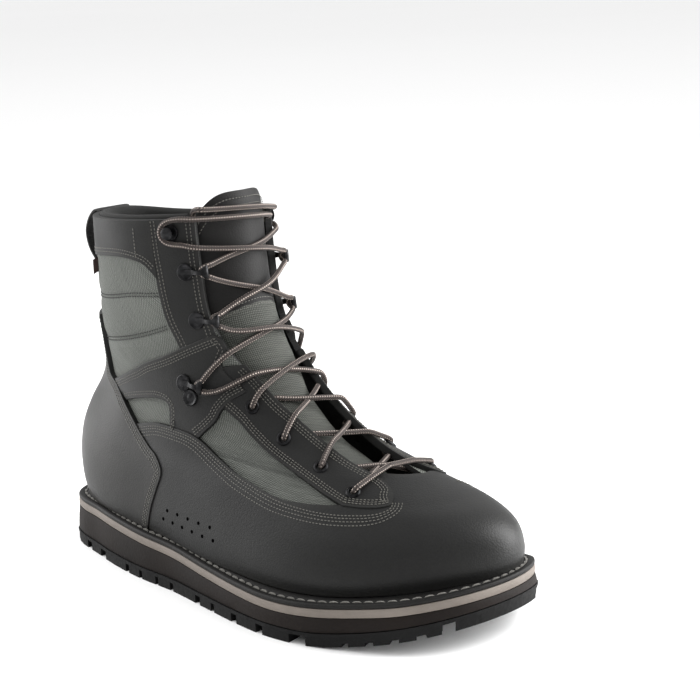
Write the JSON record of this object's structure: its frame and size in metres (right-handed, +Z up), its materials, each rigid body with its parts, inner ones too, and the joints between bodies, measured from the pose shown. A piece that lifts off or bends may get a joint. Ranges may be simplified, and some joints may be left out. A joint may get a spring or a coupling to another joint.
{
  "type": "wading boot",
  "caption": "Ankle-high lace-up wading boot with a hollow nylon and leather upper, tongue, hooks and eyelets, stacked rubber sole and lugged tread; right foot.",
  "frame": {"origin": "centre of the part's outline seen from above, on the ground plane that the sole stands on", "axes": "+X from heel to toe, +Y towards the medial (inner) side, +Z up"},
  "size_m": [0.3152, 0.124, 0.2218],
  "materials": {
    "tread": "matt black moulded rubber",
    "midsole": "dark brown foamed rubber, buffed edge",
    "stripe": "greige rubber strip, matt",
    "welt": "black welt, stitched along its top",
    "leather": "near-black oiled leather with a fine grain",
    "nylon": "grey-green woven nylon",
    "lining": "black lining cloth and padding",
    "metal": "blackened metal, satin",
    "cord": "round braided lace, dark brown-grey",
    "tag": "brown woven ribbon"
  },
  "bodies": {
    "root": {"outsole": "tread", "midsole": "midsole", "midsole_stripe": "stripe", "welt": "welt", "insole": "lining", "upper": "nylon", "vamp": "leather", "heel_counter": "leather", "collar_band": "leather", "collar_padding": "lining", "shaft_eyestay_lateral": "leather", "shaft_eyestay_medial": "leather", "instep_eyestay_lateral": "leather", "instep_eyestay_medial": "leather", "ankle_strap_lateral": "leather", "ankle_strap_medial": "leather", "tongue": "leather", "eyelet_lateral_1": "metal", "eyelet_lateral_2": "metal", "eyelet_lateral_3": "metal", "eyelet_lateral_4": "metal", "eyelet_medial_1": "metal", "eyelet_medial_2": "metal", "eyelet_medial_3": "metal", "eyelet_medial_4": "metal", "hook_lateral_1": "metal", "hook_lateral_2": "metal", "hook_lateral_3": "metal", "hook_lateral_4": "metal", "hook_medial_1": "metal", "hook_medial_2": "metal", "hook_medial_3": "metal", "hook_medial_4": "metal", "lace_crossings": "cord", "pull_loop": "lining", "side_tag": "tag"}
  },
  "joints": []
}
